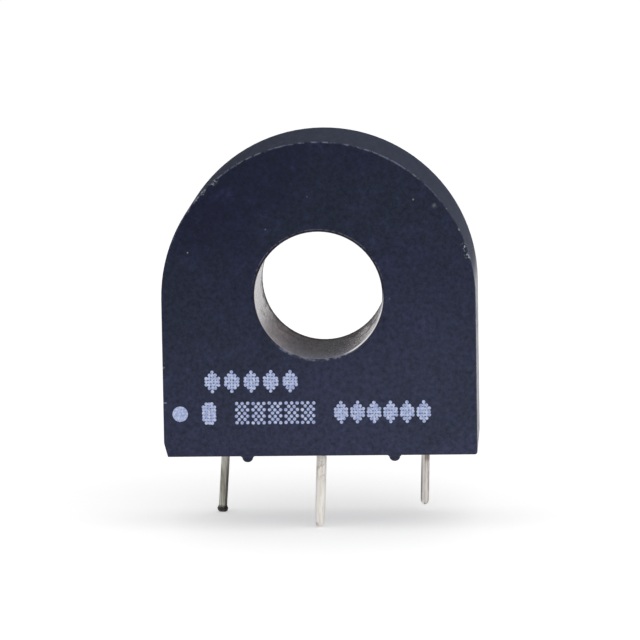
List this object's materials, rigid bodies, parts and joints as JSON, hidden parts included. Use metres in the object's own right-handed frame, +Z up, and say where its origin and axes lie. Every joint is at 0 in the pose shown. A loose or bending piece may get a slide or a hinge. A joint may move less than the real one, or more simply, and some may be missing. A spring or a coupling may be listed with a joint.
{
  "type": "current transformer",
  "caption": "Board-mounted current transformer: arch-shaped moulded case, resin-filled, with a through bore for the primary conductor and pins below.",
  "frame": {"origin": "middle of the bore, on its axis and halfway between the front and back faces", "axes": "+X right and +Z up as the closed front face is looked at; the front face looks toward -Y, and the bore runs along Y"},
  "size_m": [0.0234, 0.0112, 0.0293],
  "materials": {
    "case": "dark blue-grey moulded plastic with a fine matte grain",
    "resin": "cast black resin, slightly glossy",
    "core_steel": "wound strip",
    "core_tape": "yellow insulating tape",
    "copper": "enamelled copper",
    "outer_tape": "pale insulating tape",
    "solder": "soft solder",
    "tarnished_pin": "tinned wire dulled to a brownish grey",
    "tinned_pin": "bright tinned wire"
  },
  "bodies": {
    "root": {"case": "case", "potting": "resin", "core": "core_steel", "core_tape": "core_tape", "secondary_winding": "copper", "outer_wrap": "outer_tape", "start_lead": "copper", "finish_lead": "copper", "start_solder": "solder", "finish_solder": "solder", "start_pin": "tarnished_pin", "finish_pin": "tinned_pin", "support_pin": "tinned_pin"}
  },
  "joints": []
}
